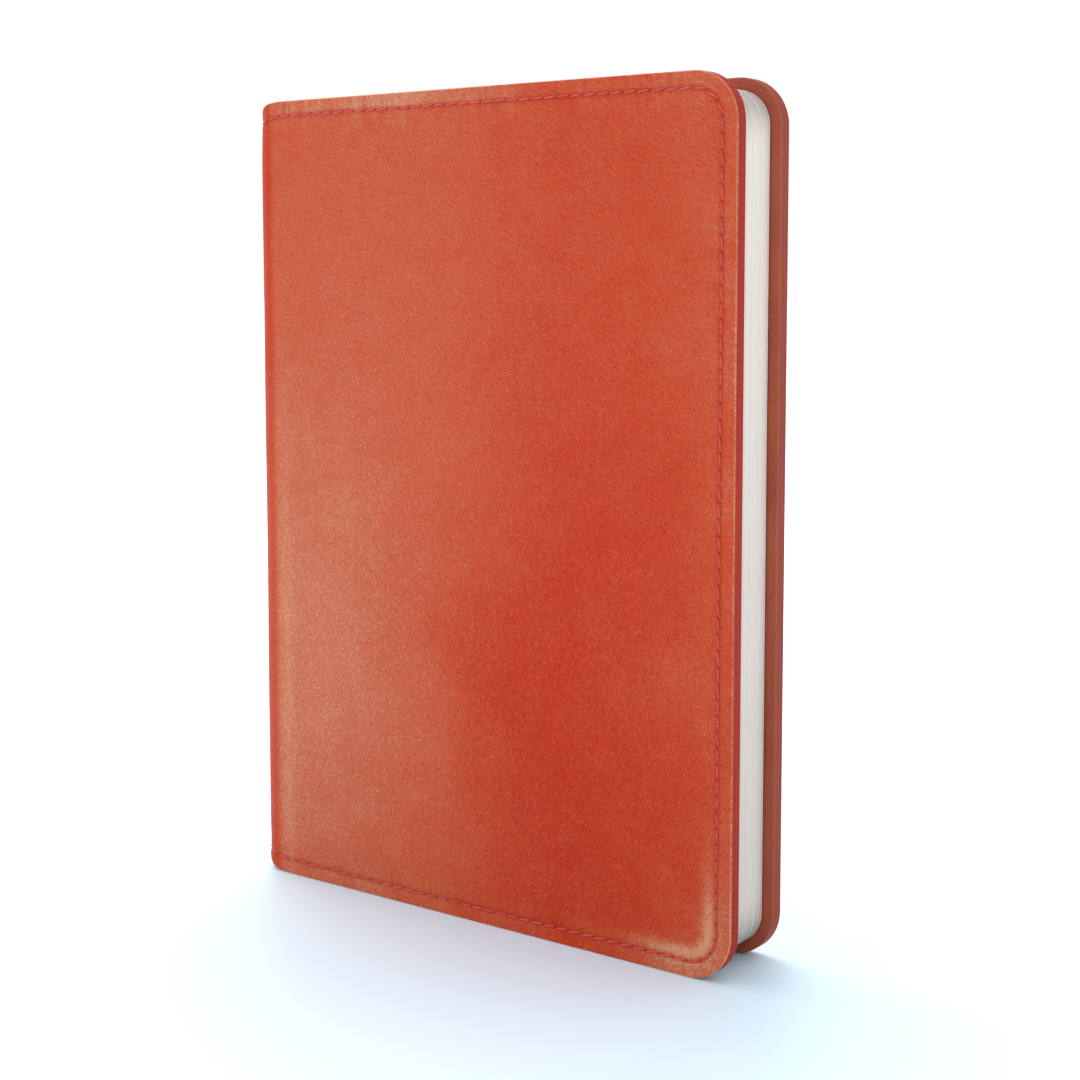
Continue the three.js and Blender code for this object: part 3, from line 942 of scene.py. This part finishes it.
def stitches(name, side, places, level, outward, thread):
    """Slanted stitches along the seam, one at each of the places.

    Each is a tapering rod: at w from -1 to 1 along it and angle v round it, the cross-section
    is an ellipse of STITCH_HALF_WIDTH by STITCH_HALF_HEIGHT that narrows with w^4, grooved by
    two plies that turn along the stitch. The rod rises by STITCH_ARCH (1 - w^2) in the middle,
    and leans across the seam by its slant. level gives the depth of the leather under it."""
    around = np.linspace(0, 2 * math.pi, 8, endpoint=False)
    lengthwise = np.array([-1.0, -0.82, -0.5, -0.17, 0.17, 0.5, 0.82, 1.0])
    rows, columns, count = len(lengthwise), len(around), len(places)
    w, v = np.meshgrid(lengthwise, around, indexing="ij")
    taper = 1 - np.abs(w) ** 4
    ply = 1 + PLY_GROOVE * np.cos(2 * (v - PLY_TURN * w))
    girth = (STITCH_END + (1 - STITCH_END) * taper) * ply
    a = PITCH * STITCH_SHARE * w
    b = STITCH_HALF_WIDTH * girth * np.cos(v)
    c = STITCH_HALF_HEIGHT * girth * np.sin(v) + STITCH_ARCH * (1 - w * w) - STITCH_SINK

    # No two stitches are quite alike: fast sines of their places vary their lean and height.
    kink = np.sin(places * 12.9898)[:, None, None]
    rise = np.sin(places * 7.77)[:, None, None]
    lean = (STITCH_LEAN + LEAN_CHANGE * kink) * (1 if outward else -1)
    across = b[None] + a[None] * lean + SIDE_CHANGE * kink
    ahead = a[None] - b[None] * lean
    lift = c[None] + LIFT_CHANGE * rise
    s0, t0, turn = (x[:, None, None] for x in seam_point(places))
    s = s0 + ahead * np.cos(turn) - across * np.sin(turn)
    t = t0 + ahead * np.sin(turn) + across * np.cos(turn)
    depth = level(s, t) + (-lift if outward else lift)
    points = wrap(side, np.abs(s), dipped(np.abs(s), t), depth)
    points[..., 1] = np.where(s < 0, -points[..., 1], points[..., 1])

    body = ring_faces(rows, columns)
    k = np.arange(0, columns // 2 - 1)
    cap = np.stack([k, k + 1, columns - 2 - k, columns - 1 - k], axis=1)
    faces = np.concatenate([body, cap[:, ::-1], (rows - 1) * columns + cap])
    if (side > 0) == outward:
        faces = faces[:, ::-1]
    faces = (faces[None] + rows * columns * np.arange(count)[:, None, None]).reshape(-1, 4)
    twist = np.stack([v + PLY_TURN * w, np.zeros_like(v), a], axis=-1)
    twist = np.broadcast_to(twist, (count, rows, columns, 3)).reshape(-1, 3)
    hide = np.stack([-side * s, t, np.zeros_like(s)], axis=-1).reshape(-1, 3)
    return build(name, points.reshape(-1, 3), faces, {"twist": twist, "hide": hide}, [thread])


# ---------------------------------------------------------------- the cover

# Each depth below is a function of a place (s, t) in the sheet and its inset m.


def leather_outer(side):
    """The face's swell, fading out at the cut edge, and a rounded arris."""
    def depth(s, t, m):
        return swell(s, t, m, side) * smooth(m, -0.2, 1.2) + bevel(m, ARRIS)
    return depth


def leather_inner(s, t, m):
    return LEATHER - bevel(m, FINE_ARRIS)


def core_outer(s, t, m):
    return LEATHER + bevel(m, FINE_ARRIS)


def core_inner(s, t, m):
    return CORE_IN - bevel(m, FINE_ARRIS)


def lining_outer(s, t, m):
    """Against the spine strip, then the leather of the fold, then the board's core."""
    past_strip = smooth(s, FLAT_HALF, FLAT_HALF + 1.0)
    past_hinge = smooth(s, HINGE_S - 1.2, HINGE_S - 0.1)
    depth = LEATHER + SPINE_STRIP * (1 - past_strip) + (CORE_IN - LEATHER) * past_hinge
    return depth + bevel(m, FINE_ARRIS)


def lining_inner(s, t, m):
    """The spine's wall, then the board's, with a seam valley on the board."""
    on_board = smooth(s, HINGE_S - 1.0, HINGE_S + 3.0)
    wall = SPINE_WALL + (BOARD - SPINE_WALL) * on_board
    valley = LINING_VALLEY * on_board * np.exp(-((m - SEAM) / VALLEY_WIDTH) ** 2)
    return wall - valley - bevel(m, LINING_ARRIS)


def outer_level(side):
    """Depth of the outer seam's floor at a place in the sheet."""
    def level(s, t):
        return swell(np.abs(s), t, np.full_like(s, SEAM), side) - STITCH_BED
    return level


def inner_level(s, t):
    """Depth of the inner seam's floor, the same all along the board."""
    return BOARD - LINING_VALLEY


# The inner thread stops 2 mm short of the hinge, because the lining is only glued there.
ALL_PLACES = (np.arange(STITCH_COUNT) + 0.5) * PITCH
INNER_PLACES = ALL_PLACES[(ALL_PLACES > HINGE_S + 2) & (ALL_PLACES < SEAM_LENGTH - HINGE_S - 2)]

for label, side in SIDES.items():
    edge = FRONT_EDGE if side < 0 else BACK_EDGE
    hide = cover_layer(f"{label}_cover_leather", side, 0.0, leather_outer(side), leather_inner,
                       [LEATHER_FACE, edge, FLESH])
    follow_cover(hide, side)
    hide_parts(f"{label}_leather", "spine_leather")

    core = cover_layer(f"{label}_cover_core", side, HINGE_S + 0.1, core_outer, core_inner,
                       [FLESH, edge, FLESH])
    follow_cover(core, side)
    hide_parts(f"{label}_core")

    lining = cover_layer(f"{label}_cover_lining", side, 0.0, lining_outer, lining_inner,
                         [FLESH, edge, LINING_FACE])
    follow_cover(lining, side)
    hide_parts(f"{label}_lining", "spine_lining")

    seam = stitches(f"{label}_cover_seam", side, ALL_PLACES, outer_level(side), True,
                    OUTER_THREAD)
    follow_cover(seam, side)
    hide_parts(f"{label}_outer_stitching", "spine_tail_stitching",
                "spine_head_stitching")

    inner_seam = stitches(f"{label}_lining_seam", side, INNER_PLACES, inner_level, False,
                          INNER_THREAD)
    follow_cover(inner_seam, side)
    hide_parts(f"{label}_inner_stitching")

# ---------------------------------------------------------------- the paper


def flat_leaf(name, low, high, rings, radius, arris, material):
    """A closed leaf or section lying between two corners, its two fore corners rounded.

    Both faces are the outline's grid at the lowest and highest y, drawn together at the edge
    by the arris. The grid is close near the gutter."""
    length = high[0] - low[0]
    height = high[2] - low[2]
    gutter = GUTTER[GUTTER < length - radius - 4]
    flat = np.linspace(gutter[-1], length - radius, 14)[1:-1]
    stations = np.concatenate([gutter, flat, length - rings[::-1]])
    levels = np.concatenate([rings, np.linspace(radius, height - radius, 18)[1:-1],
                             height - rings[::-1]])
    s, t, inset, _ = outline_grid(stations, levels, length, height, radius)
    ease = bevel(inset, arris)
    skins = [np.stack([low[0] + s, y, low[2] + t], axis=-1)
             for y in (low[1] + ease, high[1] - ease)]
    points = np.concatenate([skin.reshape(-1, 3) for skin in skins])
    faces, _ = shell_faces(*s.shape, False)
    cut = np.tile((inset < 0.01).astype(float).ravel(), 2)
    return build(name, points, faces, {"leaf": points, "cut": cut}, [material])


def leaf_blend(obj, side, body):
    """Bakes the leaf's placement into its points. Two points on its hinge line are worked out,
    but nothing uses them.
    """
    start, end = LEAF_BLEND
    hinge_line(side, start)
    hinge_line(side, end)
    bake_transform(obj)


leaf_bodies = sorted(name for name in frame["bodies"] if name.startswith("leaves_"))

for number, body in enumerate(leaf_bodies, start=1):
    node = f"signature_{number:02d}"
    low, high = box_mm(node)
    high[0] -= FORE_CHANGE * (1 + math.sin(number * 2.3))
    section = flat_leaf(f"section_{number:02d}", low, high, LEAF_RINGS, LEAF_CORNER,
                        SECTION_ARRIS, PAGES)
    side = -1 if number <= len(leaf_bodies) // 2 else 1
    leaf_blend(section, side, body)
    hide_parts(node)

for label, side in SIDES.items():
    node = f"{label}_flyleaf"
    low, high = box_mm(node)
    flyleaf = flat_leaf(f"{label}_free_endpaper", low, high, LEAF_RINGS, LEAF_CORNER,
                        PAPER_ARRIS, ENDPAPER)
    leaf_blend(flyleaf, side, leaf_bodies[0] if side < 0 else leaf_bodies[-1])
    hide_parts(node)

    node = f"{label}_pastedown"
    low, high = box_mm(node)
    pasted = flat_leaf(f"{label}_pasted_endpaper", low, high, PASTEDOWN_RINGS,
                       PASTEDOWN_CORNER, PAPER_ARRIS, ENDPAPER)
    follow_cover(pasted, side)
    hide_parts(node)


def woven_strip(name, low, high, material):
    """A closed strip of cloth between two corners, as wide as y and as long as z.

    Both faces are lifted where the yarns cross, by CRIMP cos(2 pi y / YARN) cos(2 pi z / YARN)
    with z measured from the lower end. The grid has three lines to a yarn across the strip
    and two along it."""
    y = np.linspace(low[1], high[1], 23)
    z = np.linspace(low[2], high[2], 273)
    y, z = np.meshgrid(y, z, indexing="ij")
    lift = CRIMP * np.cos(2 * math.pi * y / YARN) * np.cos(2 * math.pi * (z - low[2]) / YARN)
    skins = [np.stack([x + lift, y, z], axis=-1) for x in (high[0] - CRIMP, low[0] + CRIMP)]
    points = np.concatenate([skin.reshape(-1, 3) for skin in skins])
    faces, _ = shell_faces(*y.shape, False)
    return build(name, points, faces, {}, [material])


mull_low, mull_high = box_mm("spine_mull")
mull = woven_strip("mull_cloth", mull_low, mull_high, WEAVE)
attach(mull, "spine")
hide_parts("spine_mull")

for node, finish in (("text_block_back", GLUED), ("spine_core", STRIP)):
    for slot in frame["nodes"][node].material_slots:
        slot.material = finish

# ---------------------------------------------------------------- floor, light and camera

# The floor, in millimetres: its hole under the notebook, its rim, and where its glow grows.
FLOOR_HUB = 2.0
FLOOR_RADIUS = 12000.0
FLOOR_RINGS = 24
FLOOR_SPOKES = 96
GLOW_SPAN = (110.0, 420.0)
GLOW = 0.4
BLACK = (0, 0, 0, 1)
WHITE = (1, 1, 1, 1)


def pale_floor():
    """Smooth pale floor that gives off a little light away from the notebook."""
    f = Finish("pale_floor", roughness=0.42, specular_ior_level=0.25)
    f.feed("Base Color", FLOOR_COLOUR)
    spread = f.node("ShaderNodeVectorMath", {"operation": "LENGTH"}, {0: f.place()}, "Value")
    f.feed("Emission Color", f.mix(spread.ramp(*GLOW_SPAN), BLACK, WHITE))
    f.feed("Emission Strength", GLOW)
    return f.material


def studio_floor():
    """A wide round floor: rings of points, each wider than the last by the same factor."""
    turn = np.linspace(0, 2 * math.pi, FLOOR_SPOKES + 1)[:-1]
    radius = np.geomspace(FLOOR_HUB, FLOOR_RADIUS, FLOOR_RINGS)
    r, v = np.meshgrid(radius, turn, indexing="ij")
    points = np.stack([r * np.cos(v), r * np.sin(v), np.zeros_like(r)], axis=-1).reshape(-1, 3)
    build("studio_floor", points, ring_faces(*r.shape), {}, [pale_floor()])


# Each light's name, place and target (metres), size (metres) and power (watts).
LIGHTS = [
    ("key_light", (-0.9, -1.3, 1.1), (0.0, 0.0, 0.1), (1.0, 1.2), 2.5),
    ("back_light", (-0.6, 0.35, 1.6), (0.0, 0.0, 0.0), (1.1, 0.9), 17.0),
]
LIGHT_COLOUR = (1.0, 0.98, 0.95)
AIR_COLOUR = (0.94, 0.97, 1.0, 1.0)
AIR_STRENGTH = 1.07


def soft_light(name, place, target, size, power):
    """A rectangular soft light at a place, facing a target."""
    lamp = bpy.data.lights.new(name, "AREA")
    lamp.shape = "RECTANGLE"
    lamp.size, lamp.size_y = size
    lamp.energy = power
    lamp.color = LIGHT_COLOUR
    obj = bpy.data.objects.new(name, lamp)
    bpy.context.collection.objects.link(obj)
    obj.location = place
    direction = Vector(target) - Vector(place)
    obj.rotation_euler = direction.to_track_quat("-Z", "Y").to_euler()


# The camera's heading from straight at the front cover, its tilt downwards, and its lens.
CAMERA_TURN = 0.6319
CAMERA_TILT = math.radians(5.0)
CAMERA_PLACE = (292.03 * MM, -382.34 * MM, 168.90 * MM)
LENS = 61.60
SENSOR = 36.0
FRAME_SHIFT = -0.0963


def set_camera():
    """Looks at the front cover from the fore-edge side, tilted a little downwards."""
    lens = bpy.data.cameras.new("camera")
    lens.lens = LENS
    lens.sensor_width = SENSOR
    lens.shift_y = FRAME_SHIFT
    lens.clip_start = 0.01
    lens.clip_end = 20
    camera = bpy.data.objects.new("camera", lens)
    bpy.context.collection.objects.link(camera)
    ahead = Vector((-math.sin(CAMERA_TURN) * math.cos(CAMERA_TILT),
                    math.cos(CAMERA_TURN) * math.cos(CAMERA_TILT), -math.sin(CAMERA_TILT)))
    camera.location = CAMERA_PLACE
    camera.rotation_euler = ahead.to_track_quat("-Z", "Y").to_euler()
    bpy.context.scene.camera = camera


def set_world():
    """Even, slightly cool light from all round."""
    world = bpy.data.worlds.new("studio_air")
    world.use_nodes = True
    background = world.node_tree.nodes["Background"]
    background.inputs["Color"].default_value = AIR_COLOUR
    background.inputs["Strength"].default_value = AIR_STRENGTH
    bpy.context.scene.world = world


studio_floor()
set_camera()
set_world()
for light in LIGHTS:
    soft_light(*light)
bpy.context.scene.view_settings.view_transform = "Standard"
